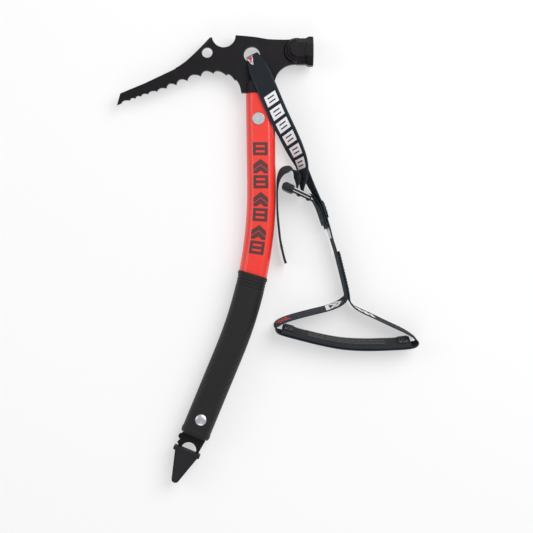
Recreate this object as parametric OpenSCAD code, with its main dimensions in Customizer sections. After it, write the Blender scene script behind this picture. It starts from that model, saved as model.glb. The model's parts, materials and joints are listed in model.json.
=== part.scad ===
// Technical ice axe lying on its side: forged head with a toothed pick and a
// hammer, curved tube shaft, rubber grip, spike with a rubber guard, and an
// adjustable webbing leash with a padded wrist loop. Millimetres.
// X runs from the pick to the hammer, Y from the spike to the head, Z up.
// The origin is under the middle of the axe without its leash.

/* [Head] */
// thickness of the forged head plate
head_t = 7; // [5:0.5:9]
// thickness of the pick at its tip
pick_t = 4; // [3:0.2:5]
// diameter of the small hole in the pick
pick_hole_d = 10.6; // [8:0.2:12]
// diameter of the carabiner eye in the head
eye_d = 16.2; // [14:0.2:18]
// width across the hammer face
hammer_d = 28.8; // [24:0.4:32]

/* [Shaft] */
// width of the shaft in the plane of the axe
shaft_w = 28.8; // [26:0.2:32]
// thickness of the shaft across the plane of the axe
shaft_t = 21; // [19:0.5:24]
// wall of the shaft tube
wall = 1.6; // [1.2:0.1:2.2]
// radius of the bend at mid shaft
bend_r = 420; // [380:5:480]
// diameter of the rivet head near the head
rivet_d = 12.4; // [9:0.2:14]

/* [Grip] */
// width of the rubber grip
grip_w = 29; // [27:0.5:32]
// thickness of the rubber grip
grip_t = 26; // [24:0.5:27]
// diameter of the rivet head in the grip
grip_rivet_d = 11; // [8:0.5:12]

/* [Spike] */
// thickness of the spike plate
spike_t = 4; // [3:0.5:5]
// diameter of the eye in the spike
spike_eye_d = 15.2; // [12:0.2:16]
// thickness of the rubber spike guard
guard_t = 11; // [9:0.5:13]

/* [Leash] */
// width of the webbing
web_w = 20; // [18:1:22]
// thickness of the webbing
web_t = 1.6; // [1.2:0.1:2]
// width of the wrist pad
pad_w = 24; // [22:1:26]
// thickness of the wrist pad
pad_t = 5.2; // [3:0.2:6]

/* [Hidden] */
$fn = 64;
zc = 14.4;
gap = 0.12;
// straight lengths lap into the bend, a hair smaller than it
lap = 0.5;
hair = 0.06;
turn_a = 0.8;
turn_b = 22.5;
bend_x = 46.3;
bend_y = 75;
cx = bend_x - bend_r * cos(turn_a);
cy = bend_y - bend_r * sin(turn_a);
low_x = cx + bend_r * cos(turn_b);
low_y = cy - bend_r * sin(turn_b);
top_len = 90.8;
grip_len = 91.3;
core_w = grip_w - 3.8;
core_t = grip_t - 7.4;
rivet_x = 43.5;
rivet_y = 139.8;
rivet_s = 73.3;
eye_x = 36.8;
eye_y = 204.3;
ham_y = 207.5;

// ---------- shared shapes ----------

// Tube section: flat face 15 mm wide, a soft crease, then a rounded side.
function quarter(a, b, f, n = 8, q0 = 18) =
    [for (i = [0 : n]) let (q = q0 + (90 - q0) * i / n)
        [f + (a - f) * (sin(q) - sin(q0)) / (1 - sin(q0)),
         b * cos(q) / cos(q0)]];
function rev(v) = [for (i = [len(v) - 1 : -1 : 0]) v[i]];
function tube_pts(w, t, f) =
    let (q = quarter(w / 2, t / 2, f), r = rev(q))
    concat(
        [for (p = q) p],
        [for (i = [1 : len(r) - 1]) [r[i][0], -r[i][1]]],
        [for (p = q) [-p[0], -p[1]]],
        [for (i = [1 : len(r) - 1]) [-r[i][0], r[i][1]]]);

module sec(w, t, f = 7.5) {
    polygon(tube_pts(w, t, f));
}

// Extrude a section lying in XZ toward -Y.
module run(l) {
    rotate([90, 0, 0])
        linear_extrude(l)
            children();
}

module top_frame() {
    translate([bend_x, bend_y, zc])
        rotate([0, 0, turn_a])
            children();
}

module low_frame() {
    translate([low_x, low_y, zc])
        rotate([0, 0, -turn_b])
            children();
}

module bend(a0, a1) {
    translate([cx, cy, zc])
        rotate([0, 0, a1])
            rotate_extrude(angle = a0 - a1, $fn = 720)
                translate([bend_r, 0])
                    children();
}

// Slanted plane where the grip starts.
module above_grip(d) {
    translate([38.15, -14.9, 0])
        rotate([0, 0, -17])
            translate([-40, d, -5])
                cube([80, 60, 40]);
}

module below_grip(d) {
    translate([38.15, -14.9, 0])
        rotate([0, 0, -17])
            translate([-40, d - 60, -5])
                cube([80, 60, 40]);
}

// ---------- head ----------

// Underside of the pick: tooth tips from the point to the shaft.
tips = [[-93.5, 156], [-85.1, 158.8], [-79.6, 160.7], [-74, 162.8],
    [-66.8, 165.1], [-57.7, 167.9], [-48.6, 170.9], [-38.7, 174.2],
    [-27.6, 178.5], [-14.1, 183.2], [-1.6, 185.8], [11.4, 183.9],
    [19.8, 178.8], [24.9, 173]];
// Height of each scallop above the tooth on its left.
rise = [2.4, 2.2, 2.3, 2.4, 2.7, 2.8, 4.4, 5.2, 5.4, 5, 3, 1.8, 1];

function bez(a, b, c, d, t) =
    a * pow(1 - t, 3) + b * 3 * t * pow(1 - t, 2)
    + c * 3 * t * t * (1 - t) + d * pow(t, 3);
// Steep on the side of the left tooth, gentle toward the next one.
function scallop(i) =
    let (l = tips[i], r = tips[i + 1], w = r[0] - l[0], h = rise[i])
    [for (k = [0 : 7])
        bez(l, l + [0.06 * w, 1.05 * h], l + [0.42 * w, 1.5 * h],
            r, k / 8)];
teeth = [for (i = [0 : len(tips) - 2]) for (p = scallop(i)) p];

module head_outline() {
    difference() {
        polygon(concat(
            [[-98.1, 154], [-94.7, 165.8], [-69.8, 176], [-49.4, 185.8],
             [-42.6, 189], [-36.4, 192.7], [-29.6, 197.4], [-23.4, 202.9],
             [-14.4, 211.9], [-6.2, 220.8], [-5.3, 221.7], [-4.4, 222],
             [-3.5, 221.6], [8, 232], [20.3, 223.2], [20.9, 223.6],
             [30.3, 222.9], [40.6, 221.8], [47, 220.7], [52.8, 219.7],
             [61, 219.3], [69.5, 219.2], [85.6, 219.7], [85.6, 194.8],
             [79.4, 194.8], [59.6, 174.9], [59.2, 166.2],
             [26.3, 166.2], [25, 172.3]],
            rev(teeth)));
        translate([8.7, 223.4])
            circle(r = 11.8);
        translate([79.4, 174.9])
            circle(r = 19.9);
        translate([-7.8, 206.5])
            circle(d = pick_hole_d);
        translate([eye_x, eye_y])
            circle(d = eye_d);
    }
}

module tang_outline() {
    translate([rivet_x + 1, 144])
        square([21, 46], center = true);
}

// Thins the plate from the head toward the tip on the upper face.
module pick_wedge() {
    a = atan((head_t - pick_t) / 2 / 98);
    translate([2, 120, head_t / 2])
        rotate([0, -a, 0])
            translate([-140, 0, 0])
                cube([140, 120, 5]);
}

module edge_bevel(p, ang, l, d) {
    translate([p[0], p[1], head_t / 2])
        rotate([0, 0, ang])
            translate([0, -d, 0])
                rotate([-45, 0, 0])
                    cube([l, 8, 8]);
}

module hammer_half() {
    // stepped nose where the hammer grows out of the plate
    translate([81.3, 208, 3])
        cylinder(h = 4, r1 = 13.1, r2 = 11.4, $fn = 128);
    translate([81.3, 208, 7])
        cylinder(h = 2.2, r1 = 10.2, r2 = 9, $fn = 128);
    translate([81.3, 208, 9.2])
        cylinder(h = 2.6, r1 = 8.2, r2 = 5.6, $fn = 128);
}

module hammer() {
    translate([81.3, 0, 0])
        rotate([90, 0, 90])
            linear_extrude(10.7)
                polygon([[194.6, -5], [202, -11.8], [215.2, -11.8],
                    [220.2, -6], [220.2, 6], [215.2, 11.8],
                    [202, 11.8], [194.6, 5]]);
    hammer_half();
    mirror([0, 0, 1])
        hammer_half();
    k = cos(22.5);
    translate([89.5, ham_y, 0])
        rotate([0, 90, 0])
            rotate([0, 0, 22.5]) {
                cylinder(h = 3.5, r1 = 12.4 / k, r2 = 14.2 / k, $fn = 8);
                translate([0, 0, 3.5])
                    cylinder(h = 4.3, d = hammer_d / k, $fn = 8);
                translate([0, 0, 7.8])
                    cylinder(h = 0.8, d1 = hammer_d / k,
                        d2 = (hammer_d - 1.6) / k, $fn = 8);
            }
}

module collar() {
    top_frame()
        translate([0, 101.4, 0])
            run(10.2)
                sec(shaft_w, shaft_t + 0.6);
    top_frame()
        translate([0, 102.4, 0])
            run(1.2)
                sec(shaft_w - 1.6, shaft_t - 1);
    top_frame()
        translate([0, 103.6, 0])
            run(1.4)
                sec(shaft_w - 4.5, shaft_t - 4);
}

module head() {
    color("#232023")
        difference() {
            union() {
                difference() {
                    translate([0, 0, zc - head_t / 2])
                        linear_extrude(head_t) {
                            head_outline();
                            tang_outline();
                        }
                    for (m = [0, 1])
                        translate([0, 0, zc])
                            mirror([0, 0, m]) {
                                pick_wedge();
                                edge_bevel([-96, 165.3], 24.1, 62, 2);
                                edge_bevel([-36, 192.5], 40.5, 44, 1);
                                edge_bevel([-98.6, 152], 73.9, 16, 2.4);
                            }
                }
                difference() {
                    translate([0, 0, zc])
                        hammer();
                    translate([79.4, 174.9, -1])
                        cylinder(r = 19.9, h = 40);
                }
                collar();
            }
            translate([rivet_x, rivet_y, -1])
                cylinder(r = 3.2, h = 40);
        }
}

// ---------- shaft ----------

module shaft_outer() {
    difference() {
        union() {
            top_frame()
                translate([0, top_len - 1.2, 0])
                    run(top_len - 1.2 + lap)
                        sec(shaft_w - hair, shaft_t - hair);
            top_frame()
                translate([0, top_len, 0])
                    run(1.2)
                        sec(shaft_w - 1, shaft_t - 1);
            bend(turn_a, -13.8)
                sec(shaft_w, shaft_t);
        }
        below_grip(gap);
    }
    difference() {
        bend(-11, -turn_b)
            sec(core_w, core_t, 6.6);
        above_grip(1);
    }
    low_frame()
        translate([0, lap, 0])
            run(grip_len - 0.6 + lap)
                sec(core_w - hair, core_t - hair, 6.6);
}

module shaft() {
    i = 2 * wall;
    color("#ee4438")
        difference() {
            shaft_outer();
            top_frame()
                translate([0, top_len + 1, 0])
                    run(top_len + 1 + lap)
                        sec(shaft_w - i + hair, shaft_t - i + hair, 7.2);
            bend(turn_a, -11.1)
                sec(shaft_w - i, shaft_t - i, 7.2);
            bend(-9, -turn_b)
                sec(core_w - i, core_t - i, 6.2);
            low_frame()
                translate([0, lap, 0])
                    run(grip_len + 1 + lap)
                        sec(core_w - i + hair, core_t - i + hair, 6.2);
            translate([rivet_x, rivet_y, -1])
                cylinder(r = 3.2, h = 40);
            low_frame()
                translate([0, -rivet_s, -20])
                    cylinder(r = 2.7, h = 40);
        }
}

module head_rivet() {
    color("#c8cad2")
        translate([rivet_x, rivet_y, 0])
            difference() {
                union() {
                    translate([0, 0, zc + shaft_t / 2 + gap])
                        cylinder(d = rivet_d, h = 0.8);
                    translate([0, 0, zc + shaft_t / 2 + gap + 0.8])
                        cylinder(d1 = rivet_d, d2 = rivet_d - 1, h = 0.5);
                    translate([0, 0, zc - shaft_t / 2 - 1.5])
                        cylinder(r = 3, h = shaft_t + 2);
                }
                translate([0, 0, zc + shaft_t / 2 + 1.2])
                    cylinder(r1 = 0.5, r2 = 1.6, h = 0.6);
            }
}

module head_rivet_washer() {
    color("#c8cad2")
        translate([rivet_x, rivet_y, zc - shaft_t / 2 - gap - 1.3])
            difference() {
                union() {
                    cylinder(d1 = rivet_d - 1, d2 = rivet_d, h = 0.5);
                    translate([0, 0, 0.5])
                        cylinder(d = rivet_d, h = 0.8);
                }
                translate([0, 0, -1])
                    cylinder(r = 3.15, h = 4);
            }
}

module tang_packer() {
    h = shaft_t / 2 - wall - head_t / 2 - 2 * gap;
    translate([rivet_x, rivet_y, head_t / 2 + gap])
        difference() {
            translate([-4.5, -17, 0])
                cube([12.6, 38, h]);
            translate([0, 0, -1])
                cylinder(r = 3.2, h = 10);
        }
}

module tang_packer_front() {
    color("#2b2b2e")
        translate([0, 0, zc])
            tang_packer();
}

module tang_packer_back() {
    color("#2b2b2e")
        translate([0, 0, zc])
            mirror([0, 0, 1])
                tang_packer();
}

// ---------- grip ----------

module grip_sleeve() {
    color("#2d2b2c")
        difference() {
            union() {
                difference() {
                    union() {
                        bend(-9, -turn_b)
                            sec(grip_w, grip_t, 8);
                    }
                    above_grip(0);
                }
                intersection() {
                    bend(-9, -turn_b)
                        sec(grip_w + 1.2, grip_t + 0.8, 8);
                    difference() {
                        below_grip(-0.5);
                        below_grip(-3.6);
                    }
                }
                low_frame()
                    translate([0, lap, 0])
                        run(grip_len - 1 + lap)
                            sec(grip_w - hair, grip_t - hair, 8);
                low_frame()
                    translate([0, -10, 0])
                        run(grip_len - 10)
                            sec(grip_w - 1.6, grip_t - 1.6, 8);
                low_frame()
                    translate([0, -grip_len + 5.6, 0])
                        run(3.4)
                            sec(grip_w + 0.8, grip_t + 0.6, 8);
            }
            bend(-8.5, -turn_b)
                sec(core_w + 2 * gap, core_t + 2 * gap, 6.7);
            low_frame()
                translate([0, lap, 0])
                    run(grip_len - 0.4 + lap)
                        sec(core_w + 2 * gap + hair,
                            core_t + 2 * gap + hair, 6.7);
            low_frame()
                translate([0, -grip_len + 2, 0])
                    cube([core_w, 8, core_t - 2], center = true);
            for (g = [[6.6, 7.4], [9.6, 10.4], [12.6, 13.4]])
                difference() {
                    difference() {
                        below_grip(-g[0]);
                        below_grip(-g[1]);
                    }
                    bend(-7, -turn_b)
                        sec(grip_w - 1.2, grip_t - 1.2, 8);
                }
            low_frame()
                translate([0, -rivet_s, -20])
                    cylinder(r = 2.8, h = 40);
            for (m = [0, 1])
                low_frame()
                    mirror([0, 0, m])
                        translate([0, -rivet_s, grip_t / 2 - 1])
                            cylinder(d = grip_rivet_d + 0.4, h = 4);
        }
}

module grip_rivet() {
    color("#c8cad2")
        low_frame()
            translate([0, -rivet_s, 0]) {
                translate([0, 0, grip_t / 2 - 1 + gap])
                    cylinder(d = grip_rivet_d, h = 0.8);
                translate([0, 0, grip_t / 2 - 0.08])
                    cylinder(d1 = grip_rivet_d, d2 = 7.6, h = 0.6);
                translate([0, 0, grip_t / 2 + 0.52])
                    cylinder(d1 = 7.6, d2 = 3, h = 0.3);
                translate([0, 0, -grip_t / 2])
                    cylinder(r = 2.5, h = grip_t);
            }
}

module grip_rivet_washer() {
    color("#c8cad2")
        low_frame()
            translate([0, -rivet_s, -grip_t / 2])
                difference() {
                    union() {
                        translate([0, 0, -0.6])
                            cylinder(d1 = 8, d2 = grip_rivet_d, h = 0.6);
                        cylinder(d = grip_rivet_d, h = 1 - gap);
                    }
                    translate([0, 0, -2])
                        cylinder(r = 2.65, h = 5);
                }
}

// ---------- spike ----------

module spike() {
    k = spike_t / 2;
    color("#2a2a2d")
        low_frame()
            difference() {
                translate([0, 0, -k])
                    linear_extrude(spike_t)
                        difference() {
                            union() {
                                polygon([[-9, -46], [-9, -91.7],
                                    [-12.2, -91.9], [-12.4, -93.4],
                                    [-12.2, -100.6], [-13.6, -103.4],
                                    [-11, -106], [-9.6, -112],
                                    [-1.2, -138.5], [0, -139.6],
                                    [1.2, -138.5], [9.4, -112],
                                    [10.6, -104], [11.3, -98],
                                    [12.2, -91.9], [9, -91.7],
                                    [9, -46]]);
                                translate([-12, -96.6])
                                    circle(r = 2.9);
                            }
                            translate([0, -106.7])
                                circle(d = spike_eye_d);
                            translate([0, -rivet_s])
                                circle(r = 2.7);
                        }
                for (m = [0, 1])
                    mirror([0, 0, m])
                        translate([-15, -116, k])
                            rotate([3.2, 0, 0])
                                translate([0, -30, 0])
                                    cube([30, 30, 4]);
            }
}

module spike_packer() {
    h = core_t / 2 - wall - spike_t / 2 - 2 * gap;
    translate([0, 0, spike_t / 2 + gap])
        difference() {
            translate([-6, -89.5, 0])
                cube([12, 41, h]);
            translate([0, -rivet_s, -1])
                cylinder(r = 2.7, h = 12);
        }
}

module spike_packer_front() {
    color("#303033")
        low_frame()
            spike_packer();
}

module spike_packer_back() {
    color("#303033")
        low_frame()
            mirror([0, 0, 1])
                spike_packer();
}

module guard_2d(d) {
    polygon([[-12.7 + d, -110.6], [11.5 - d, -110.6],
        [2.6 - d, -139.6], [-4.6 + d, -139.6]]);
    translate([-1, -138.3])
        circle(r = 3.8 - d);
}

module spike_guard() {
    color("#232328")
        low_frame()
            difference() {
                union() {
                    translate([0, 0, -guard_t / 2 + 0.8])
                        linear_extrude(guard_t - 1.6)
                            guard_2d(0);
                    translate([0, 0, -guard_t / 2])
                        linear_extrude(guard_t)
                            guard_2d(0.8);
                    translate([-14.9, -110.8, -guard_t / 2 - 0.6])
                        cube([27.8, 3.6, guard_t + 1.2]);
                    translate([-14.3, -111.3, -guard_t / 2 - 0.2])
                        cube([26.6, 4.6, guard_t + 0.4]);
                }
                translate([0, 0, -spike_t / 2 - 0.45])
                    linear_extrude(spike_t + 0.9)
                        polygon([[-12.4, -106.2], [-10.6, -112],
                            [-2, -138.9], [-0.6, -140.4],
                            [0.6, -140.4], [2, -138.9],
                            [10.3, -112], [11.5, -106.2]]);
            }
}

// ---------- webbing ----------

function unit(v) = v / norm(v);
function cr(a, b, c, d, t) = 0.5 * (2 * b + (c - a) * t
    + (2 * a - 5 * b + 4 * c - d) * t * t
    + (3 * b - a - 3 * c + d) * t * t * t);
function dense(r, n) = concat(
    [for (i = [0 : len(r) - 2]) for (k = [0 : n - 1])
        cr(r[max(i - 1, 0)], r[i], r[i + 1],
            r[min(i + 2, len(r) - 1)], k / n)],
    [r[len(r) - 1]]);
function xyz(v) = [v[0], v[1], v[2]];
function wid(v) = [v[3], v[4], v[5]];
function ring(c, tan, w0, w, t) =
    let (wd = unit(w0 - tan * (w0 * tan)), n = cross(tan, wd),
        a = w / 2, b = t / 2, e = min(0.35, t * 0.2))
    [c + wd * a + n * (b - e), c + wd * (a - e) + n * b,
     c - wd * (a - e) + n * b, c - wd * a + n * (b - e),
     c - wd * a - n * (b - e), c - wd * (a - e) - n * b,
     c + wd * (a - e) - n * b, c + wd * a - n * (b - e)];

// Flat strap along rows of [x, y, z, width direction xyz, width].
module strap(rows, t, n = 4) {
    d = dense(rows, n);
    m = len(d);
    tan = [for (i = [0 : m - 1])
        unit(xyz(d[min(i + 1, m - 1)]) - xyz(d[max(i - 1, 0)]))];
    pts = [for (i = [0 : m - 1])
        for (p = ring(xyz(d[i]), tan[i], wid(d[i]), d[i][6], t)) p];
    sides = [for (i = [0 : m - 2]) for (j = [0 : 7])
        for (h = [0, 1]) h == 0
            ? [i * 8 + j, i * 8 + (j + 1) % 8, (i + 1) * 8 + j]
            : [i * 8 + (j + 1) % 8, (i + 1) * 8 + (j + 1) % 8,
               (i + 1) * 8 + j]];
    polyhedron(pts, concat(
        [[for (j = [7 : -1 : 0]) j]],
        sides,
        [[for (j = [0 : 7]) (m - 1) * 8 + j]]));
}

// Width direction from an azimuth and an elevation.
function wa(az, el) = [cos(el) * cos(az), cos(el) * sin(az), sin(el)];
function row(x, y, z, az, el, w = 20) = concat([x, y, z], wa(az, el), [w]);
// Standing on edge and tipped by a and b along X and Y.
function tilt(x, y, z, a, b) = [x, y, z, a, b, 1, 20];

// Free tail, turn in the buckle, front leg, eye, back leg, single strap.
web_rows = [
    tilt(70.8, -4, 12, 0.06, 0),
    tilt(68.6, 3, 12, 0.05, 0),
    tilt(65.2, 19, 12, 0.04, 0),
    tilt(63.4, 35, 12, 0.04, 0),
    tilt(62.4, 47, 12, 0.03, 0),
    tilt(62.1, 60, 12, 0.02, 0),
    tilt(62.2, 70, 12.2, 0.03, 0),
    tilt(63.6, 80.6, 12.8, 0.14, -0.12),
    tilt(68, 88.4, 13.4, 0.28, -0.3),
    tilt(75, 90.2, 13.7, 0.34, -0.4),
    tilt(80.6, 86, 13.9, 0.42, -0.22),
    tilt(82.6, 79.5, 14, 0.26, -0.06),
    tilt(82.2, 72, 14, 0.02, 0),
    row(81.9, 66.6, 14, 10, 89),
    row(83.4, 64.2, 14, 10, 88),
    row(86, 64.6, 14, 10, 88),
    row(87.4, 67.8, 14, 10, 88),
    row(87.3, 74, 14, 4, 77),
    row(88, 82, 14.4, 4, 64),
    row(87.2, 91, 15, 8, 54),
    row(84.8, 100, 16.6, 12, 46),
    row(80.4, 110, 19, 16, 36),
    row(74.6, 121, 22.2, 20, 24),
    row(68.2, 133, 25.4, 22, 10),
    row(62.2, 145.5, 26.9, 23, 2),
    row(56.4, 159, 27.2, 23, 0),
    row(50.4, 173, 27.2, 24, 0),
    row(44.6, 186.5, 25, 25, 0, 19.6),
    row(40, 197, 21.2, 27, 0, 16.4),
    row(38, 201.6, 19, 28, 0, 13.4),
    row(36.9, 203.9, 14.4, 28, 0, 12.8),
    row(38, 201.6, 9.8, 28, 0, 13.4),
    row(40, 197, 7.8, 27, 0, 16.4),
    row(44.4, 187, 4.6, 24, 0, 19.6),
    row(49, 177, 1.9, 22, 0),
    row(54, 166, 1.6, 22, 0),
    row(61.6, 150, 1.9, 22, 4),
    row(70, 132, 4.6, 22, 18),
    row(78.5, 112, 7.6, 22, 38),
    row(87, 93, 10, 22, 60),
    row(95, 76.5, 11, 22, 72),
    row(101.5, 63.5, 11.4, 20, 78),
    row(106.4, 53, 11.4, 16, 80),
    row(110.2, 41, 11.4, 14, 80),
    row(113.6, 30.4, 11.4, 12, 82),
    row(115.8, 23, 11.4, 12, 84),
    row(117.4, 17.6, 11.4, 12, 85)];

module leash_webbing() {
    color("#262a32")
        strap(web_rows, web_t);
}

// ---------- buckle ----------

module buckle_frame() {
    translate([82.4, 67.6, 14])
        rotate([0, 0, -25.3])
            children();
}

module leash_buckle() {
    color("#1c1c20")
        buckle_frame() {
            for (s = [-1, 1])
                difference() {
                    translate([-15, -2.4, s * 12.1 - 1.3])
                        cube([30, 4.8, 2.6]);
                    translate([-9, -3.6, s * 12.1 - 2])
                        cube([24.6, 1.6, 4]);
                }
            // thumb lip
            translate([-12.4, -0.4, -12.6])
                cylinder(r = 4.2, h = 25.2);
            translate([-12.4, -4.6, -12.1])
                cube([5.6, 8.4, 24.2]);
            // bar the free tail rubs on
            translate([-6.8, -0.4, -12.1])
                cylinder(r = 4.2, h = 24.2);
            // bar the strap turns around
            translate([2, 0.4, -12])
                cylinder(r = 1.3, h = 24);
            // bar that holds the sewn tab
            translate([12.6, 0, -12])
                cylinder(r = 1.5, h = 24);
        }
}

tab_rows = [
    row(111.4, 30.6, 11.4, 12, 82),
    row(108, 41, 11.5, 14, 81),
    row(104.2, 52.4, 11.6, 16, 82),
    row(101, 58.4, 12, 14, 86),
    row(98.2, 62, 13, 12, 88),
    row(96.6, 64, 13.6, 10, 89),
    row(94.6, 65, 14, 10, 89),
    row(92.2, 64.2, 14, 10, 89),
    row(91.2, 62, 14, 10, 89),
    row(92.4, 59.7, 14, 10, 89),
    row(95, 59.4, 14, 10, 89),
    row(97.8, 58.2, 13, 12, 88),
    row(100.2, 55, 12, 14, 86),
    row(102.8, 50.6, 11.6, 16, 82),
    row(106.5, 40.4, 11.5, 14, 81),
    row(108.6, 34, 11.4, 13, 82)];

module buckle_tab() {
    color("#262a32")
        strap(tab_rows, 1.2);
}

// Small reinforcing patch sewn over the junction.
patch_rows = [
    row(105.7, 58, 11.5, 18, 79, 18),
    row(108, 53.4, 11.5, 16, 80, 18),
    row(110.2, 47, 11.5, 15, 80, 18),
    row(111.8, 41.4, 11.5, 14, 80, 18)];

module junction_patch() {
    color("#20242c")
        strap(patch_rows, 0.9);
}

// ---------- wrist loop ----------

pad_lean = [0.13, -0.29, 0.95];
function leaned(x, y, a = 0.1) = tilt(x, y, 12.2, a, -0.27);
function stood(x, y) = tilt(x, y, 12.2, 0.09, 0.02);

wrist_rows = [
    tilt(118, 15.6, 11.6, 0.09, 0.02),
    tilt(120.4, 8, 11.8, 0.09, 0.02),
    stood(123.4, -4),
    stood(126.4, -16),
    stood(129.2, -28),
    stood(130.6, -34.6),
    leaned(129.8, -39),
    leaned(126, -42.8),
    leaned(119, -46.4),
    leaned(110, -49.4),
    leaned(96, -52.8),
    leaned(80, -57),
    leaned(69, -60.6),
    leaned(62.6, -64),
    leaned(60.4, -67.6),
    leaned(62.4, -71.2),
    leaned(68, -73.6),
    leaned(82, -77.4),
    leaned(102, -82.4),
    leaned(122, -86.4),
    leaned(138, -88),
    leaned(154, -88.4),
    leaned(170, -88),
    leaned(186, -87.2),
    leaned(196, -86),
    leaned(200.6, -83.8),
    leaned(201, -80.4),
    leaned(197, -76.4, 0.22),
    leaned(188, -71, 0.22),
    leaned(174, -64.4, 0.22),
    leaned(158, -56.8, 0.22),
    leaned(146, -51.2, 0.22),
    leaned(138.6, -46.8, 0.22),
    leaned(134.6, -41.6),
    stood(132.7, -34),
    stood(131.4, -28),
    stood(128.6, -16),
    stood(125.6, -4),
    stood(122.7, 8)];

module wrist_webbing() {
    color("#262a32")
        strap(wrist_rows, web_t);
}

function pad_row(x, y) = concat([x, y, 12.4], pad_lean, [pad_w]);
pad_rows = [
    pad_row(67, -69.3),
    pad_row(82, -73.2),
    pad_row(102, -78.4),
    pad_row(122, -82.4),
    pad_row(138, -84),
    pad_row(154, -84.4),
    pad_row(170, -84),
    pad_row(186, -83.2),
    pad_row(195, -82)];

module wrist_pad() {
    color("#2e2e30")
        strap(pad_rows, pad_t);
}

function tab_row(x, y) = concat([x, y, 12.4], pad_lean, [20]);

module pad_end_tabs() {
    color("#262a32") {
        strap([tab_row(67.9, -65.4), tab_row(73, -66.8),
            tab_row(78.4, -68.3)], 0.8);
        strap([tab_row(184, -79.4), tab_row(189.2, -78.9),
            tab_row(194.1, -78.2)], 0.8);
    }
}

// ---------- draw ----------

head();
shaft();
head_rivet();
head_rivet_washer();
tang_packer_front();
tang_packer_back();
grip_sleeve();
spike();
spike_packer_front();
spike_packer_back();
grip_rivet();
grip_rivet_washer();
spike_guard();
leash_webbing();
leash_buckle();
buckle_tab();
junction_patch();
wrist_webbing();
wrist_pad();
pad_end_tabs();
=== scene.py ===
import json
import math

import bmesh
import bpy
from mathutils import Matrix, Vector

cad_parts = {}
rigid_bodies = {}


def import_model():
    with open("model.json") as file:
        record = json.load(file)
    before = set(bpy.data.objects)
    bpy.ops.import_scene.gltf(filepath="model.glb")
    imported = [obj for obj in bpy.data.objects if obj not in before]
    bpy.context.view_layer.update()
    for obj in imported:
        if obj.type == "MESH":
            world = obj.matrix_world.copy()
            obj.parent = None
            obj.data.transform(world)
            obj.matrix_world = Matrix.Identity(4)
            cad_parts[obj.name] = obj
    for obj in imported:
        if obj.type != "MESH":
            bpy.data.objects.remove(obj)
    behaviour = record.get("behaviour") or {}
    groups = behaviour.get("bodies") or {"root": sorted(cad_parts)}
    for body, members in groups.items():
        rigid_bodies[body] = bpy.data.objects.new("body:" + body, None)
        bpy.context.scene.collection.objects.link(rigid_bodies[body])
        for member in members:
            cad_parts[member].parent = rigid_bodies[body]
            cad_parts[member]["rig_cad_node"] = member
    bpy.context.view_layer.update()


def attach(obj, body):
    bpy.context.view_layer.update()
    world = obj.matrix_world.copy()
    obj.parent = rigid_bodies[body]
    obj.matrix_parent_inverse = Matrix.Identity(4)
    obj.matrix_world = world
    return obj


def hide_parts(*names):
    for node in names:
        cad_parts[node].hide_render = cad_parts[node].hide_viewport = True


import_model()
MM = 0.001

# ---------------------------------------------------------------- camera
VIEW_W = 0.533  # width of the scene that the picture shows
LENS, SENSOR = 100.0, 36.0
CENTRE = (0.0514, -0.0071)
MID_Z = 0.014

camera = bpy.data.cameras.new("camera")
camera.lens = LENS
camera.sensor_width = SENSOR
eye = bpy.data.objects.new("camera", camera)
eye.location = (CENTRE[0], CENTRE[1], MID_Z + VIEW_W * LENS / SENSOR)
bpy.context.scene.collection.objects.link(eye)
bpy.context.scene.camera = eye


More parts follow.
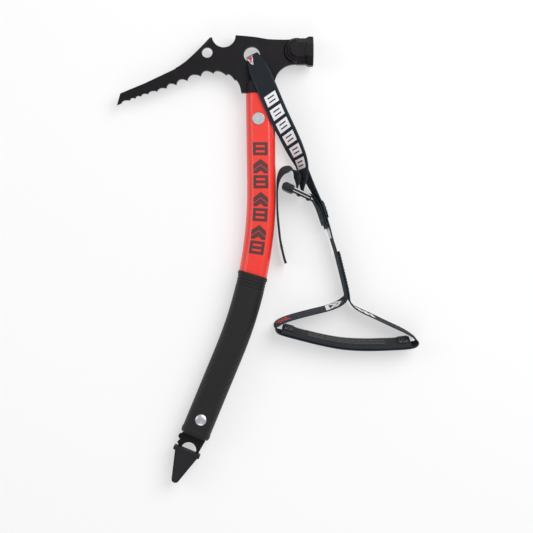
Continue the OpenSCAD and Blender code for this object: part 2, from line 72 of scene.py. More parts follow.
# ---------------------------------------------------------------- node kit
class Net:
    """A material's node tree, built with short calls."""

    def __init__(self, name):
        self.m = bpy.data.materials.new(name)
        self.m.use_nodes = True
        self.t = self.m.node_tree
        self.b = self.t.nodes["Principled BSDF"]

    def n(self, kind, props=None, **inputs):
        node = self.t.nodes.new(kind)
        for k, v in (props or {}).items():
            setattr(node, k, v)
        for k, v in inputs.items():
            key = int(k[1:]) if k[0] == "i" and k[1:].isdigit() else k
            self.put(node.inputs[key], v)
        return node

    def put(self, socket, value):
        if isinstance(value, bpy.types.NodeSocket):
            self.t.links.new(value, socket)
        else:
            socket.default_value = value

    def math(self, op, a, b=0.0, c=0.0):
        return self.n("ShaderNodeMath", {"operation": op}, i0=a, i1=b, i2=c).outputs[0]

    def vmath(self, op, a, b=(0, 0, 0)):
        return self.n("ShaderNodeVectorMath", {"operation": op}, i0=a, i1=b)

    def step(self, x, lo, hi):
        """0 below lo, 1 above hi, smooth between; lo > hi turns it round."""
        flip = lo > hi
        node = self.n("ShaderNodeMapRange", {"interpolation_type": "SMOOTHSTEP"}, Value=x)
        node.inputs["From Min"].default_value = min(lo, hi)
        node.inputs["From Max"].default_value = max(lo, hi)
        node.inputs["To Min"].default_value = 1.0 if flip else 0.0
        node.inputs["To Max"].default_value = 0.0 if flip else 1.0
        return node.outputs[0]

    def band(self, x, lo, hi, soft):
        up = self.step(x, lo - soft, lo + soft)
        return self.math("MULTIPLY", up, self.step(x, hi + soft, hi - soft))

    def mix(self, fac, a, b):
        node = self.n("ShaderNodeMix", {"data_type": "RGBA"}, i0=fac)
        for i, v in ((6, a), (7, b)):
            if not isinstance(v, bpy.types.NodeSocket):
                v = (*v, 1.0) if len(v) == 3 else v
            self.put(node.inputs[i], v)
        return node.outputs[2]

    def noise(self, vec, scale, detail=3.0, rough=0.55):
        return self.n("ShaderNodeTexNoise", None, Vector=vec, Scale=scale, Detail=detail,
                      Roughness=rough).outputs["Fac"]

    def bump(self, height, dist, strength=1.0, normal=None):
        node = self.n("ShaderNodeBump", None, Height=height, Distance=dist, Strength=strength)
        if normal is not None:
            self.put(node.inputs["Normal"], normal)
        return node.outputs[0]

    def obj(self):
        return self.n("ShaderNodeTexCoord").outputs["Object"]

    def xyz(self, vec):
        return self.n("ShaderNodeSeparateXYZ", None, i0=vec).outputs

    def edge(self, radius):
        """About 1 on sharp edges and 0 on flats."""
        rounded = self.n("ShaderNodeBevel", {"samples": 6}, Radius=radius).outputs[0]
        flat = self.n("ShaderNodeNewGeometry").outputs["Normal"]
        dot = self.vmath("DOT_PRODUCT", rounded, flat).outputs["Value"]
        return self.step(dot, 0.995, 0.86), rounded

    def set(self, **inputs):
        for k, v in inputs.items():
            self.put(self.b.inputs[k.replace("_", " ")], v)


def use(node, net):
    for o in bpy.data.objects:
        if o.name == node or o.get("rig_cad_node") == node:
            o.data.materials.clear()
            o.data.materials.append(net.m)


# ---------------------------------------------------------------- materials
def steel_black(name, tint=1.0, rough=0.42):
    """Blackened forged steel: faint scale, brighter worn edges."""
    g = Net(name)
    p = g.obj()
    edge, rounded = g.edge(0.0006)
    cloud = g.noise(p, 60.0, 5.0, 0.6)
    grain = g.noise(p, 900.0, 3.0, 0.6)
    worn = g.math("MULTIPLY", edge, g.step(g.noise(p, 140.0, 4.0), 0.35, 0.7))
    dark = [c * tint for c in (0.0065, 0.0055, 0.007)]
    pale = [c * tint for c in (0.013, 0.011, 0.0132)]
    base = g.mix(cloud, dark, pale)
    base = g.mix(worn, base, (0.10, 0.092, 0.09))
    g.set(Base_Color=base, Metallic=0.25)
    g.b.inputs["Specular IOR Level"].default_value = 0.22
    r = g.math("MULTIPLY_ADD", cloud, 0.18, rough - 0.08)
    g.set(Roughness=g.math("SUBTRACT", r, g.math("MULTIPLY", worn, 0.12)))
    h = g.bump(grain, 0.00012, 0.35, rounded)
    g.set(Normal=g.bump(cloud, 0.0006, 0.3, h))
    return g


def bright_steel():
    g = Net("bright_steel")
    p = g.obj()
    edge, rounded = g.edge(0.0003)
    swirl = g.noise(p, 1500.0, 2.0)
    g.set(Base_Color=g.mix(g.noise(p, 300.0), (0.55, 0.56, 0.6), (0.78, 0.79, 0.82)), Metallic=0.9)
    g.set(Roughness=g.math("MULTIPLY_ADD", swirl, 0.25, 0.2), Normal=g.bump(swirl, 0.00004, 0.4, rounded))
    return g


BEND_R = 420.0
BEND_AT = (46.3, 75.0)
TURN_A, TURN_B = math.radians(0.8), math.radians(22.5)
BEND_C = (BEND_AT[0] - BEND_R * math.cos(TURN_A), BEND_AT[1] - BEND_R * math.sin(TURN_A))
LOW = (BEND_C[0] + BEND_R * math.cos(TURN_B), BEND_C[1] - BEND_R * math.sin(TURN_B))


def shaft_coords(g):
    """Millimetres across and along the shaft, from the top of its bend."""
    x, y, z = [g.math("MULTIPLY", c, 1000.0) for c in g.xyz(g.obj())]
    dx, dy = g.math("SUBTRACT", x, BEND_C[0]), g.math("SUBTRACT", y, BEND_C[1])
    r = g.math("SQRT", g.math("ADD", g.math("MULTIPLY", dx, dx), g.math("MULTIPLY", dy, dy)))
    bend_u = g.math("SUBTRACT", r, BEND_R)
    ang = g.math("ARCTAN2", dy, dx)
    bend_s = g.math("MULTIPLY", g.math("SUBTRACT", TURN_A, ang), BEND_R)
    top_s = g.math("SUBTRACT", BEND_AT[1], y)
    top_u = g.math("SUBTRACT", x, g.math("MULTIPLY_ADD", top_s, 0.014, BEND_AT[0]))
    high = g.math("GREATER_THAN", y, BEND_AT[1])
    low = g.math("SUBTRACT", 1.0, high)

    def pick(a, b):
        return g.math("ADD", g.math("MULTIPLY", high, a), g.math("MULTIPLY", low, b))

    return pick(top_u, bend_u), pick(top_s, bend_s), z


def plaque(g, p, u, half_p, half_u, line):
    """Outline of a rectangle with a bar through it, centred on p = u = 0."""
    d = g.math("MAXIMUM", g.math("SUBTRACT", g.math("ABSOLUTE", p), half_p),
               g.math("SUBTRACT", g.math("ABSOLUTE", u), half_u))
    ring = g.band(d, -line, 0.0, 0.12)
    bar = g.math("MULTIPLY", g.band(p, -line / 2, line / 2, 0.12), g.step(d, 0.12, -0.12))
    return g.math("MAXIMUM", ring, bar)


def chevron(g, p, u, half_u, line):
    bent = g.math("SUBTRACT", p, g.math("MULTIPLY", g.math("ABSOLUTE", u), 0.8))
    return g.math("MULTIPLY", g.band(bent, -line * 1.6, line * 0.4, 0.15),
                  g.band(u, -half_u, half_u, 0.12))


def shaft_paint():
    """Red lacquer with a plain row of dark geometric marks on the front."""
    g = Net("shaft_paint")
    p = g.obj()
    u, s, z = shaft_coords(g)
    pitch = 16.4
    cell = g.math("DIVIDE", g.math("ADD", s, 43.0), pitch)
    local = g.math("MULTIPLY", g.math("SUBTRACT", g.math("FRACT", cell), 0.5), pitch)
    odd = g.math("GREATER_THAN", g.math("MODULO", g.math("FLOOR", cell), 2.0), 0.5)
    off = g.math("ADD", u, 0.6)
    a = plaque(g, local, off, 6.6, 7.4, 3.0)
    b = g.math("MAXIMUM", chevron(g, g.math("ADD", local, 2.0), off, 7.4, 2.8),
               chevron(g, g.math("SUBTRACT", local, 4.2), off, 7.4, 2.8))
    shape = g.math("ADD", g.math("MULTIPLY", odd, b), g.math("MULTIPLY", g.math("SUBTRACT", 1.0, odd), a))
    shape = g.math("MULTIPLY", shape, g.band(s, -43.0, 71.8, 0.2))
    marks = g.math("MULTIPLY", shape, g.step(z, 21.4, 22.0))
    edge, rounded = g.edge(0.0008)
    cloud = g.noise(p, 35.0, 4.0)
    red = g.mix(cloud, (0.8, 0.03, 0.018), (0.9, 0.042, 0.026))
    scuff = g.math("MULTIPLY", edge, g.step(g.noise(p, 260.0, 5.0, 0.7), 0.6, 0.75))
    red = g.mix(g.math("MULTIPLY", scuff, 0.5), red, (0.9, 0.25, 0.22))
    base = g.mix(g.math("MULTIPLY", marks, 0.94), red, (0.05, 0.024, 0.024))
    g.set(Base_Color=base, Roughness=g.math("MULTIPLY_ADD", cloud, 0.1, 0.3))
    g.b.inputs["Coat Weight"].default_value = 0.35
    g.b.inputs["Coat Roughness"].default_value = 0.12
    peel = g.noise(p, 700.0, 2.0)
    g.set(Normal=g.bump(peel, 0.00006, 0.25, rounded))
    return g


RIB_PITCH = 3.4  # of the grip's slanted ribs


def grip_rubber():
    """Moulded rubber: fine grain, slanted ribs on the lower half."""
    g = Net("grip_rubber")
    p = g.obj()
    x, y, z = [g.math("MULTIPLY", c, 1000.0) for c in g.xyz(p)]
    dx, dy = g.math("SUBTRACT", x, LOW[0]), g.math("SUBTRACT", y, LOW[1])
    s = g.math("SUBTRACT", g.math("MULTIPLY", dx, -math.sin(TURN_B)),
               g.math("MULTIPLY", dy, math.cos(TURN_B)))
    u = g.math("SUBTRACT", g.math("MULTIPLY", dx, math.cos(TURN_B)), g.math("MULTIPLY", dy, math.sin(TURN_B)))
    slant = g.math("ADD", u, g.math("MULTIPLY", s, 0.42))
    wave = g.math("SINE", g.math("MULTIPLY", slant, 2 * math.pi / RIB_PITCH))
    rib = g.math("MULTIPLY", g.step(wave, -0.1, 0.75), g.band(s, -24.0, 58.0, 4.0))
    rib = g.math("MULTIPLY", rib, g.band(u, -10.5, 10.5, 0.8))
    grain = g.noise(p, 1400.0, 3.0, 0.6)
    cloud = g.noise(p, 45.0, 4.0)
    edge, rounded = g.edge(0.0007)
    base = g.mix(cloud, (0.008, 0.0076, 0.008), (0.0135, 0.0128, 0.0132))
    base = g.mix(g.math("MULTIPLY", rib, 0.5), base, (0.022, 0.021, 0.022))
    base = g.mix(g.math("MULTIPLY", edge, 0.3), base, (0.04, 0.04, 0.042))
    g.b.inputs["Specular IOR Level"].default_value = 0.3
    g.set(Base_Color=base, Roughness=g.math("MULTIPLY_ADD", grain, 0.2, 0.5))
    h = g.bump(grain, 0.00015, 0.4, rounded)
    g.set(Normal=g.bump(rib, 0.0006, 0.8, h))
    return g


def smooth_rubber(name, lo, hi, rough=0.5):
    g = Net(name)
    p = g.obj()
    grain = g.noise(p, 1600.0, 3.0)
    cloud = g.noise(p, 70.0, 4.0)
    edge, rounded = g.edge(0.0006)
    base = g.mix(cloud, lo, hi)
    base = g.mix(g.math("MULTIPLY", edge, 0.3), base, [min(1.0, c * 2.2) for c in hi])
    g.b.inputs["Specular IOR Level"].default_value = 0.32
    g.set(Base_Color=base, Roughness=g.math("MULTIPLY_ADD", grain, 0.2, rough - 0.1))
    g.set(Normal=g.bump(grain, 0.0001, 0.4, rounded))
    return g


def strap_uv(g):
    """Millimetres across and along a strap; the back is 100 mm to the side."""
    uv = g.n("ShaderNodeUVMap", {"uv_map": "strap"}).outputs[0]
    u, v, w = g.xyz(uv)
    back = g.math("GREATER_THAN", u, 50.0)
    return g.math("SUBTRACT", u, g.math("MULTIPLY", back, 100.0)), v, back


def webbing(name, prints=None, half=10.0, dark=1.0):
    """Woven polyamide with a blue selvage; prints(g, u, v) adds marks."""
    g = Net(name)
    u, v, back = strap_uv(g)
    col = g.math("DIVIDE", u, 2.4)
    side = g.math("PINGPONG", col, 0.5)
    turns = g.math("ADD", g.math("DIVIDE", v, 1.1), g.math("MULTIPLY", side, 4.0))
    twill = g.math("SINE", g.math("MULTIPLY", turns, 2 * math.pi))
    warp = g.math("ABSOLUTE", g.math("SINE", g.math("MULTIPLY", u, math.pi / 0.6)))
    height = g.math("ADD", g.math("MULTIPLY", twill, 0.5), g.math("MULTIPLY", warp, 0.6))
    p = g.obj()
    cloud = g.noise(p, 120.0, 4.0)
    fuzz = g.noise(p, 3000.0, 2.0)
    valley = [c * dark for c in (0.008, 0.0105, 0.015)]
    ridge = [c * dark for c in (0.017, 0.021, 0.029)]
    base = g.mix(g.step(twill, -0.8, 0.9), valley, ridge)
    base = g.mix(g.math("MULTIPLY", cloud, 0.25), base, (0.03, 0.034, 0.042))
    rim = g.step(g.math("ABSOLUTE", u), half * 0.82, half * 0.9)
    base = g.mix(g.math("MULTIPLY", rim, 0.5), base, (0.03, 0.058, 0.085))
    if prints is not None:
        front = g.math("SUBTRACT", 1.0, back)
        for mask, tint in prints(g, u, v):
            worn = g.step(g.noise(p, 900.0, 3.0, 0.7), 0.24, 0.36)
            base = g.mix(g.math("MULTIPLY", g.math("MULTIPLY", mask, front), worn), base, tint)
    g.set(Base_Color=base, Roughness=g.math("MULTIPLY_ADD", fuzz, 0.15, 0.72))
    g.b.inputs["Specular IOR Level"].default_value = 0.2
    g.b.inputs["Sheen Weight"].default_value = 0.05
    g.b.inputs["Sheen Roughness"].default_value = 0.45
    g.set(Normal=g.bump(height, 0.00022, 0.7))
    return g


WHITE = (0.88, 0.87, 0.9)
RED = (0.72, 0.05, 0.06)


def leg_prints(g, u, v):
    """Row of barred rectangles, and a small red wedge by the eye."""
    pitch = 14.2
    slant = g.math("ADD", v, g.math("MULTIPLY", u, 0.2))
    cell = g.math("DIVIDE", g.math("SUBTRACT", slant, 46.0), pitch)
    local = g.math("MULTIPLY", g.math("SUBTRACT", g.math("FRACT", cell), 0.5), pitch)
    row = g.math("MULTIPLY", plaque(g, local, u, 5.4, 6.4, 2.7), g.band(slant, 46.0, 131.2, 0.2))
    wide = g.math("MULTIPLY", g.math("SUBTRACT", 11.5, v), 0.3)
    shift = g.math("ABSOLUTE", g.math("ADD", u, 3.4))
    over = g.math("SUBTRACT", shift, wide)
    wedge = g.math("MULTIPLY", g.step(over, 0.2, -0.2), g.band(v, 4.0, 10.5, 0.2))
    rim = g.math("MULTIPLY", g.step(over, 1.5, 1.2), g.band(v, 3.0, 13.5, 0.2))
    spots = g.step(g.math("MULTIPLY", g.math("SINE", g.math("MULTIPLY", v, 2.0)),
                          g.math("SINE", g.math("MULTIPLY", u, 2.6))), 0.3, 0.1)
    return [(row, WHITE), (g.math("MULTIPLY", rim, spots), WHITE), (wedge, RED)]


def drop_prints(g, u, v):
    stroke = g.math("MULTIPLY", g.band(v, 188.0, 204.0, 0.3), g.band(u, -7.5, 7.5, 0.2))
    return [(stroke, WHITE)]


def wrist_prints(g, u, v):
    block = g.math("MULTIPLY", g.band(v, 75.5, 79.5, 0.2), g.band(u, -7.5, 8.5, 0.2))
    tip = chevron(g, g.math("SUBTRACT", v, 70.0), u, 7.5, 2.2)
    tip = g.math("MAXIMUM", tip, chevron(g, g.math("SUBTRACT", v, 64.5), u, 7.5, 2.2))
    lean = g.math("ADD", v, g.math("MULTIPLY", u, 0.5))
    red = g.math("MULTIPLY", g.band(lean, 118.0, 130.5, 0.3), g.band(u, -4.5, 5.5, 0.2))
    cut = g.band(g.math("PINGPONG", lean, 1.55), 0.75, 1.6, 0.12)
    far = g.math("ADD", v, g.math("MULTIPLY", u, 0.35))
    row = g.math("MULTIPLY", g.band(g.math("PINGPONG", far, 3.6), 0.8, 3.7, 0.15),
                 g.math("MULTIPLY", g.band(far, 333.0, 356.0, 0.2), g.band(u, -2.0, 8.4, 0.2)))
    return [(block, WHITE), (tip, WHITE), (g.math("MULTIPLY", red, cut), RED), (row, WHITE)]


PAD_LONG = 131.0


def pad_fabric():
    g = Net("pad_fabric")
    u, v, back = strap_uv(g)
    p = g.obj()
    knit = g.math("MULTIPLY", g.math("SINE", g.math("MULTIPLY", u, math.pi / 0.35)),
                  g.math("SINE", g.math("MULTIPLY", v, math.pi / 0.5)))
    fuzz = g.noise(p, 2200.0, 3.0)
    cloud = g.noise(p, 90.0, 4.0)
    base = g.mix(cloud, (0.012, 0.012, 0.0125), (0.02, 0.02, 0.0215))
    border = g.step(g.math("ABSOLUTE", u), 10.6, 11.2)
    base = g.mix(g.math("MULTIPLY", border, 0.8), base, (0.026, 0.03, 0.037))
    ends = g.math("MAXIMUM", g.band(v, 12.5, 23.0, 0.4), g.band(v, PAD_LONG - 24.0, PAD_LONG - 13.0, 0.4))
    ends = g.math("MULTIPLY", g.math("MULTIPLY", ends, back), g.band(u, -9.6, 9.6, 0.2))
    base = g.mix(g.math("MULTIPLY", ends, 0.95), base, (0.002, 0.002, 0.0025))
    g.set(Base_Color=base, Roughness=0.85)
    g.b.inputs["Specular IOR Level"].default_value = 0.2
    g.b.inputs["Sheen Weight"].default_value = 0.1
    g.b.inputs["Sheen Roughness"].default_value = 0.5
    h = g.bump(knit, 0.00012, 0.5)
    g.set(Normal=g.bump(fuzz, 0.0001, 0.4, h))
    return g


def thread(name, tint):
    g = Net(name)
    twist = g.noise(g.obj(), 2500.0, 2.0)
    g.set(Base_Color=g.mix(twist, [c * 0.8 for c in tint], tint), Roughness=0.6)
    g.set(Normal=g.bump(twist, 0.0001, 0.5))
    return g


# ---------------------------------------------------------------- straps
def unit_wa(az, el):
    az, el = math.radians(az), math.radians(el)
    return (math.cos(el) * math.cos(az), math.cos(el) * math.sin(az), math.sin(el))


def row(x, y, z, az, el, w=20.0):
    return (x, y, z, *unit_wa(az, el), w)


def tilt(x, y, z, a, b, w=20.0):
    """Standing on edge and tipped by a and b along X and Y."""
    return (x, y, z, a, b, 1.0, w)


def leaned(x, y, a=0.1):
    return tilt(x, y, 12.2, a, -0.27)


def stood(x, y):
    return tilt(x, y, 12.2, 0.09, 0.02)


# From the eye in the head over the front, round the buckle, to the free end.
FRONT_ROWS = [
    row(36.9, 203.9, 14.4, 28, 0, 12.8), row(38, 201.6, 19, 28, 0, 13.4), row(40, 197, 21.2, 27, 0, 16.4),
    row(44.6, 186.5, 25, 25, 0, 19.6), row(50.4, 173, 27.2, 24, 0), row(56.4, 159, 27.2, 23, 0),
    row(62.2, 145.5, 26.9, 23, 2), row(68.2, 133, 25.4, 22, 10), row(74.6, 121, 22.2, 20, 24),
    row(80.4, 110, 19, 16, 36), row(84.8, 100, 16.6, 12, 46), row(87.2, 91, 15, 8, 54),
    row(88, 82, 14.4, 4, 64), row(87.3, 74, 14, 4, 77), row(87.4, 67.8, 14, 10, 88),
    row(86, 64.6, 14, 10, 88), row(83.4, 64.2, 14, 10, 88), row(81.9, 66.6, 14, 10, 89),
    tilt(82.2, 72, 14, 0.02, 0), tilt(82.6, 79.5, 14, 0.26, -0.06), tilt(80.6, 86, 13.9, 0.42, -0.22),
    tilt(75, 90.2, 13.7, 0.34, -0.4), tilt(68, 88.4, 13.4, 0.28, -0.3),
    tilt(63.6, 80.6, 12.8, 0.14, -0.12), tilt(62.2, 70, 12.2, 0.03, 0), tilt(62.1, 60, 12, 0.02, 0),
    tilt(62.4, 47, 12, 0.03, 0), tilt(63.4, 35, 12, 0.04, 0), tilt(65.2, 19, 12, 0.04, 0),
    tilt(68.6, 3, 12, 0.05, 0), tilt(70.8, -4, 12, 0.06, 0)]
# From the eye behind the plate and shaft to the wrist loop.
BACK_ROWS = [
    row(36.9, 203.9, 14.4, 28, 0, 12.8), row(38, 201.6, 9.8, 28, 0, 13.4), row(40, 197, 7.8, 27, 0, 16.4),
    row(44.4, 187, 4.6, 24, 0, 19.6), row(49, 177, 1.9, 22, 0), row(54, 166, 1.6, 22, 0),
    row(61.6, 150, 1.9, 22, 4), row(70, 132, 4.6, 22, 18), row(78.5, 112, 7.6, 22, 38),
    row(87, 93, 10, 22, 60), row(95, 76.5, 11, 22, 72), row(101.5, 63.5, 11.4, 20, 78),
    row(106.4, 53, 11.4, 16, 80), row(110.2, 41, 11.4, 14, 80), row(113.6, 30.4, 11.4, 12, 82),
    row(115.8, 23, 11.4, 12, 84), row(117.7, 16.6, 11.5, 10, 85)]
WRIST_ROWS = [
    tilt(117.7, 16.6, 11.5, 0.09, 0.02), tilt(120.4, 8, 11.8, 0.09, 0.02),
    stood(123.4, -4), stood(126.4, -16),
    stood(129.2, -28), stood(130.6, -34.6), leaned(129.8, -39), leaned(126, -42.8), leaned(119, -46.4),
    leaned(110, -49.4), leaned(96, -52.8), leaned(80, -57), leaned(69, -60.6), leaned(62.6, -64),
    leaned(60.4, -67.6), leaned(62.4, -71.2), leaned(68, -73.6), leaned(82, -77.4), leaned(102, -82.4),
    leaned(122, -86.4), leaned(138, -88), leaned(154, -88.4), leaned(170, -88), leaned(186, -87.2),
    leaned(196, -86), leaned(200.6, -83.8), leaned(201, -80.4), leaned(197, -76.4, 0.22),
    leaned(188, -71, 0.22), leaned(174, -64.4, 0.22), leaned(158, -56.8, 0.22),
    leaned(146, -51.2, 0.22), leaned(138.6, -46.8, 0.22), leaned(134.6, -41.6),
    stood(132.7, -34), stood(131.4, -28), stood(128.6, -16), stood(125.6, -4), stood(122.7, 8)]
PAD_ROWS = [(x, y, 12.4, 0.13, -0.29, 0.95, 24.0) for x, y in (
    (67, -69.3), (82, -73.2), (102, -78.4), (122, -82.4), (138, -84), (154, -84.4), (170, -84),
    (186, -83.2), (195, -82))]
TAB_ROWS = [
    row(111.4, 30.6, 11.4, 12, 82), row(108, 41, 11.5, 14, 81), row(104.2, 52.4, 11.6, 16, 82),
    row(101, 58.4, 12, 14, 86), row(98.2, 62, 13, 12, 88), row(96.6, 64, 13.6, 10, 89),
    row(94.6, 65, 14, 10, 89), row(92.2, 64.2, 14, 10, 89), row(91.2, 62, 14, 10, 89),
    row(92.4, 59.7, 14, 10, 89), row(95, 59.4, 14, 10, 89), row(97.8, 58.2, 13, 12, 88),
    row(100.2, 55, 12, 14, 86), row(102.8, 50.6, 11.6, 16, 82), row(106.5, 40.4, 11.5, 14, 81),
    row(108.6, 34, 11.4, 13, 82)]
PATCH_ROWS = [
    row(105.7, 58, 11.5, 18, 79, 18), row(108, 53.4, 11.5, 16, 80, 18), row(110.2, 47, 11.5, 15, 80, 18),
    row(111.8, 41.4, 11.5, 14, 80, 18)]


def spline(rows, per):
    """Points of a smooth curve through the rows, per to each stretch."""
    last = len(rows) - 1
    out = []
    for i in range(last):
        a, b, c, d = rows[max(i - 1, 0)], rows[i], rows[i + 1], rows[min(i + 2, last)]
        for k in range(per):
            t = k / per
            out.append([0.5 * (2 * q + (r - p) * t + (2 * p - 5 * q + 4 * r - s) * t * t
                               + (3 * q - p - 3 * r + s) * t ** 3) for p, q, r, s in zip(a, b, c, d)])
    out.append(list(rows[last]))
    return out


def frames(rows, per):
    """Centre, width direction, normal, width and distance at each point."""
    pts = spline(rows, per)
    out, run = [], 0.0
    for i, p in enumerate(pts):
        c = Vector(p[:3])
        a, b = Vector(pts[max(i - 1, 0)][:3]), Vector(pts[min(i + 1, len(pts) - 1)][:3])
        tan = (b - a).normalized()
        w = Vector(p[3:6])
        w = (w - tan * w.dot(tan)).normalized()
        if i:
            run += (c - Vector(pts[i - 1][:3])).length
        out.append((c, w, tan.cross(w), p[6], run))
    return out


def flat_section(width, thick, across):
    """Closed outline (a, n) of a strap; soft edges."""
    half, t = width / 2, thick / 2
    top = []
    for i in range(across + 1):
        a = -1 + 2 * i / across
        a = math.sin(a * math.pi / 2) * 0.4 + a * 0.6
        top.append((a * half, t * (1 - abs(a) ** 10) ** 0.5))
    return top


def sweep(name, rows, thick, per=6, across=20, profile=None):
    """Strap mesh along rows, with a UV in millimetres across and along."""
    fr = frames(rows, per)
    bm = bmesh.new()
    uv = bm.loops.layers.uv.new("strap")
    rings = []
    for k, (c, w, n, width, run) in enumerate(fr):
        top = low = flat_section(width, thick, across)
        if profile is not None:
            half = width / 2
            top = [(a, h * profile(a / half, run, 1)) for a, h in top]
            low = [(a, h * profile(a / half, run, -1)) for a, h in low]
        ring = [(bm.verts.new((c + w * a + n * h) * MM), a, run) for a, h in top]
        ring += [(bm.verts.new((c + w * a - n * h) * MM), a + 100.0, run) for a, h in reversed(low[1:-1])]
        rings.append(ring)
    m = len(rings[0])

    def face(corners):
        f = bm.faces.new([q[0] for q in corners])
        back = sum(1 for q in corners if q[1] > 50.0) * 2 > len(corners) - 1
        for loop, q in zip(f.loops, corners):
            a = q[1] - 100.0 if q[1] > 50.0 else q[1]
            loop[uv].uv = (a + (100.0 if back else 0.0), q[2])
        f.smooth = True

    for r0, r1 in zip(rings, rings[1:]):
        for j in range(m):
            k = (j + 1) % m
            face([r0[j], r0[k], r1[k], r1[j]])
    for ring in (rings[0], rings[-1]):
        face(ring if ring is rings[-1] else list(reversed(ring)))
    bmesh.ops.recalc_face_normals(bm, faces=bm.faces)
    mesh = bpy.data.meshes.new(name)
    bm.to_mesh(mesh)
    bm.free()
    obj = bpy.data.objects.new(name, mesh)
    bpy.context.scene.collection.objects.link(obj)
    return obj, fr


def add_cord(name, rows, body, net, nodes, thick=1.6, per=8):
    obj, fr = sweep(name, rows, thick, per=per)
    obj.data.materials.append(net.m)
    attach(obj, body)
    for node in nodes:
        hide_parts(node)
    return obj, fr


_, front_fr = add_cord("leash_front", FRONT_ROWS, "leash", webbing("webbing_leg", leg_prints),
                       ["leash_webbing"])
add_cord("leash_back", BACK_ROWS, "leash", webbing("webbing_back", drop_prints),
         ["leash_webbing"])
_, wrist_fr = add_cord("wrist_strap", WRIST_ROWS, "wrist_loop", webbing("webbing_wrist", wrist_prints),
                       ["wrist_webbing"])

# ---------------------------------------------------------------- stitching
plain_web = webbing("webbing_plain")
dark_web = webbing("webbing_patch", dark=0.8)
thread_dark = thread("thread_dark", (0.07, 0.075, 0.085))
thread_mid = thread("thread_mid", (0.17, 0.17, 0.17))
thread_pale = thread("thread_pale", (0.3, 0.3, 0.29))


def stitches(name, runs, body, net, length=2.2, gap=0.7, thick=0.42):
    """Rows of small raised stitches; runs are lists of (point, normal)."""
    bm = bmesh.new()
    for run in runs:
        pts = [Vector(p) for p, n in run]
        total = sum((b - a).length for a, b in zip(pts, pts[1:]))
        count = max(1, int(total / (length + gap)))
        for k in range(count):
            s0 = (k + 0.15) * total / count
            s1 = s0 + length
            ends = []
            for s in (s0, s1):
                run_s = 0.0
                for (a, na), (b, nb) in zip(run, run[1:]):
                    d = (Vector(b) - Vector(a)).length
                    if run_s + d >= s or (b, nb) == run[-1]:
                        t = max(0.0, min(1.0, (s - run_s) / max(d, 1e-6)))
                        up = Vector(na).lerp(Vector(nb), t).normalized()
                        ends.append((Vector(a).lerp(Vector(b), t), up))
                        break
                    run_s += d
            (a, na), (b, nb) = ends
            along = (b - a).normalized()
            side = along.cross(na).normalized()
            prev = None
            for f, grow in ((0.0, 0.35), (0.15, 0.85), (0.5, 1.0), (0.85, 0.85), (1.0, 0.35)):
                c = a.lerp(b, f) + na * (thick * 0.35 * (grow - 0.35))
                rad = thick / 2 * grow
                ring = [bm.verts.new((c + side * (math.cos(q) * rad) + na * (math.sin(q) * rad)) * MM)
                        for q in [i * math.pi / 3 for i in range(6)]]
                if prev:
                    for j in range(6):
                        bm.faces.new([prev[j], prev[(j + 1) % 6], ring[(j + 1) % 6], ring[j]]).smooth = True
                else:
                    bm.faces.new(ring)
                prev = ring
            bm.faces.new(prev)
    bmesh.ops.recalc_face_normals(bm, faces=bm.faces)
    mesh = bpy.data.meshes.new(name)
    bm.to_mesh(mesh)
    bm.free()
    obj = bpy.data.objects.new(name, mesh)
    bpy.context.scene.collection.objects.link(obj)
    obj.data.materials.append(net.m)
    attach(obj, body)
    return obj


def line_on(fr, s0, s1, a, side, lift):
    """Points on a strap's face between two distances, a mm off its middle."""
    return [(c + w * a + n * side * lift, n * side) for c, w, n, width, run in fr if s0 <= run <= s1]


def box_on(fr, s0, s1, a0, a1, side, lift):
    left, right = line_on(fr, s0, s1, a0, side, lift), line_on(fr, s0, s1, a1, side, lift)
    ends = [[left[0], right[0]], [left[-1], right[-1]]]
    cross = [[left[0], right[-1]], [left[-1], right[0]]]
    return [left, right, *ends, *cross]


# ---------------------------------------------------------------- leash hardware
def strap_piece(name, rows, node, body, net, thick, per=6):
    obj, fr = sweep(name, rows, thick, per=per)
    obj.data.materials.append(net.m)
    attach(obj, body)
    if node:
        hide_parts(node)
    return obj, fr


strap_piece("tab_loop", TAB_ROWS, "buckle_tab", "leash", plain_web, 1.2, per=8)
_, patch_fr = strap_piece("junction_patch_web", PATCH_ROWS, "junction_patch", "leash", dark_web, 0.9)
stitches("junction_stitches",
         [run for side in (1, -1) for run in box_on(patch_fr, 1.5, 13.5, -8, 8, side, 0.65)],
         "leash", thread_pale)
stitches("tail_stitches",
         [line_on(front_fr, 270, 276, a, s, 0.85) for a in (-7, -3.5, 0, 3.5, 7) for s in (1, -1)],
         "leash", thread_dark, length=1.4, gap=0.5)
stitches("overlap_stitches", [line_on(wrist_fr, 12, 50, a, -1, 0.85) for a in (-8, -4, 4, 8)]
         + [line_on(wrist_fr, wrist_fr[-1][4] - 40, wrist_fr[-1][4] - 2, a, 1, 0.85) for a in (-8, -4, 4, 8)],
         "wrist_loop", thread_dark)


# ---------------------------------------------------------------- wrist pad
def pad_profile(a, run, side):
    """Crowned section; the inner face has four sewn channels mid-way."""
    h = 0.86 + 0.14 * (1 - a * a)
    if side < 0:
        total = pad_len
        on = min(1.0, max(0.0, (run - 23.0) / 1.5)) * min(1.0, max(0.0, (total - 24.0 - run) / 1.5))
        for g0 in (-0.62, -0.22, 0.18, 0.58):
            h -= 0.34 * on * math.exp(-((a - g0) / 0.055) ** 2)
        inside = min(1.0, max(0.0, run - 13.0)) * min(1.0, max(0.0, total - 13.0 - run))
        flat = inside * (1 - on)
        h -= 0.3 * flat * (1 - abs(a) ** 8)
        h -= 0.25 * math.exp(-((abs(a) - 0.86) / 0.04) ** 2)
    return h


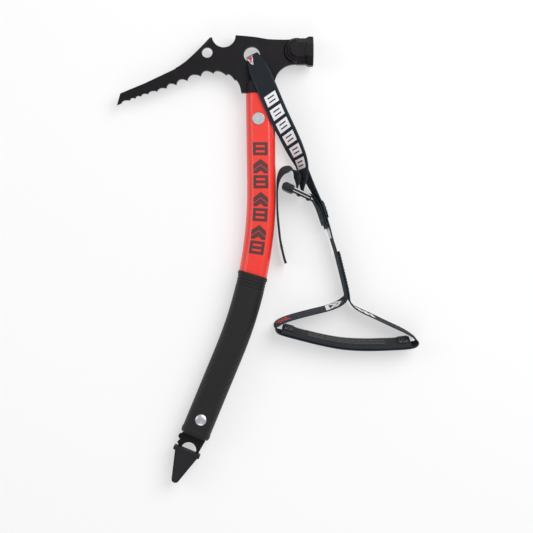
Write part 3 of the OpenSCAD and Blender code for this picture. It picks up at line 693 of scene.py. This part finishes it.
pad_len = frames(PAD_ROWS, 8)[-1][4]
pad, pad_fr = sweep("wrist_pad_band", PAD_ROWS, 5.2, per=20, across=72, profile=pad_profile)
pad.data.materials.append(pad_fabric().m)
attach(pad, "wrist_loop")
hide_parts("wrist_pad")
ribs = []
for mid in (-0.62, -0.22, 0.18, 0.58):
    ribs.append(line_on(pad_fr, 24, pad_len - 25, mid * 12, -1, 2.4))
borders = [line_on(pad_fr, 2, pad_len - 2, s * 10.3, -1, 1.95) for s in (-1, 1)]
stitches("pad_border_stitches", borders, "wrist_loop", thread_dark, length=2.0, gap=0.9, thick=0.36)
stitches("pad_stitches", ribs, "wrist_loop", thread_mid, length=6.6, gap=-0.9, thick=0.5)

for k, (lo, hi) in enumerate(((1.0, 12.5), (pad_len - 12.5, pad_len - 1.0))):
    rows = [(*(c - n * 3.0), *w, 20.0) for c, w, n, width, run in pad_fr if lo <= run <= hi][::6]
    end, end_fr = strap_piece("pad_tab_%d" % k, rows, "pad_end_tabs", "wrist_loop", plain_web, 0.8)
    span = end_fr[-1][4]
    stitches("pad_tab_stitches_%d" % k, box_on(end_fr, 1.0, span - 1.0, -8, 8, -1, 0.45),
             "wrist_loop", thread_pale, length=1.8, gap=0.6)

# ---------------------------------------------------------------- CAD nodes
use("head", steel_black("forged_black"))
use("spike", steel_black("spike_black", 0.95))
use("shaft", shaft_paint())
steel = bright_steel()
for node in ("head_rivet", "head_rivet_washer", "grip_rivet", "grip_rivet_washer"):
    use(node, steel)
use("grip_sleeve", grip_rubber())
use("spike_guard", smooth_rubber("guard_rubber", (0.006, 0.006, 0.0085), (0.0105, 0.0105, 0.014), 0.5))


def buckle_plastic():
    """Dark moulded plastic; two bright lines along the top of the frame's edge are a painted highlight."""
    g = smooth_rubber("buckle_plastic", (0.009, 0.010, 0.014), (0.017, 0.019, 0.024), 0.4)
    x, y, z = [g.math("MULTIPLY", c, 1000.0) for c in g.xyz(g.obj())]
    dx, dy = g.math("SUBTRACT", x, 82.4), g.math("SUBTRACT", y, 67.6)
    along = g.math("SUBTRACT", g.math("MULTIPLY", dx, 0.904), g.math("MULTIPLY", dy, 0.427))
    over = g.math("ADD", g.math("MULTIPLY", dx, 0.427), g.math("MULTIPLY", dy, 0.904))
    # Painted highlight: two pale strips on the frame's top face only, standing in for light on its bars.
    painted_highlight_lines = g.math("MAXIMUM", g.band(over, 1.3, 2.2, 0.15), g.band(over, -1.5, -0.9, 0.15))
    mask = g.math("MULTIPLY", painted_highlight_lines, g.band(along, -4.5, 13.5, 0.6))
    mask = g.math("MULTIPLY", mask, g.step(z, 24.0, 25.0))
    old = g.b.inputs["Base Color"].links[0].from_socket
    g.set(Base_Color=g.mix(mask, old, (0.62, 0.64, 0.68)))
    return g


use("leash_buckle", buckle_plastic())
pack = smooth_rubber("packer", (0.03, 0.03, 0.033), (0.05, 0.05, 0.054), 0.6)
for node in ("tang_packer_front", "tang_packer_back", "spike_packer_front", "spike_packer_back"):
    use(node, pack)


# ---------------------------------------------------------------- studio
def floor():
    bm = bmesh.new()
    for x, y in ((-3, -3), (3, -3), (3, 3), (-3, 3)):
        bm.verts.new((x, y, -0.0002))
    bm.faces.new(bm.verts)
    mesh = bpy.data.meshes.new("floor")
    bm.to_mesh(mesh)
    bm.free()
    obj = bpy.data.objects.new("floor", mesh)
    bpy.context.scene.collection.objects.link(obj)
    g = Net("floor")
    g.set(Base_Color=(0.5, 0.5, 0.505, 1), Roughness=0.9)
    g.b.inputs["Emission Color"].default_value = (1, 1, 1, 1)
    g.b.inputs["Emission Strength"].default_value = 0.46
    g.b.inputs["Specular IOR Level"].default_value = 0.0
    obj.data.materials.append(g.m)


def area(name, loc, aim, size, power, tint=(1, 1, 1)):
    light = bpy.data.lights.new(name, "AREA")
    light.shape = "DISK"
    light.size = size
    light.energy = power
    light.color = tint
    obj = bpy.data.objects.new(name, light)
    obj.location = loc
    obj.rotation_euler = (Vector(aim) - Vector(loc)).to_track_quat("-Z", "Y").to_euler()
    bpy.context.scene.collection.objects.link(obj)


floor()
AIM = (0.05, 0.0, 0.0)
area("key", (0.9, 0.75, 1.3), AIM, 1.5, 22)
area("left", (-1.1, 0.35, 0.9), AIM, 0.9, 3.5)
area("low", (-0.2, -1.3, 1.2), AIM, 1.2, 4)
world = bpy.data.worlds.new("world")
bpy.context.scene.world = world
world.use_nodes = True
world.node_tree.nodes["Background"].inputs[0].default_value = (1, 1, 1, 1)
world.node_tree.nodes["Background"].inputs[1].default_value = 0.42
bpy.context.scene.view_settings.view_transform = "Standard"
bpy.context.scene.view_settings.look = "None"
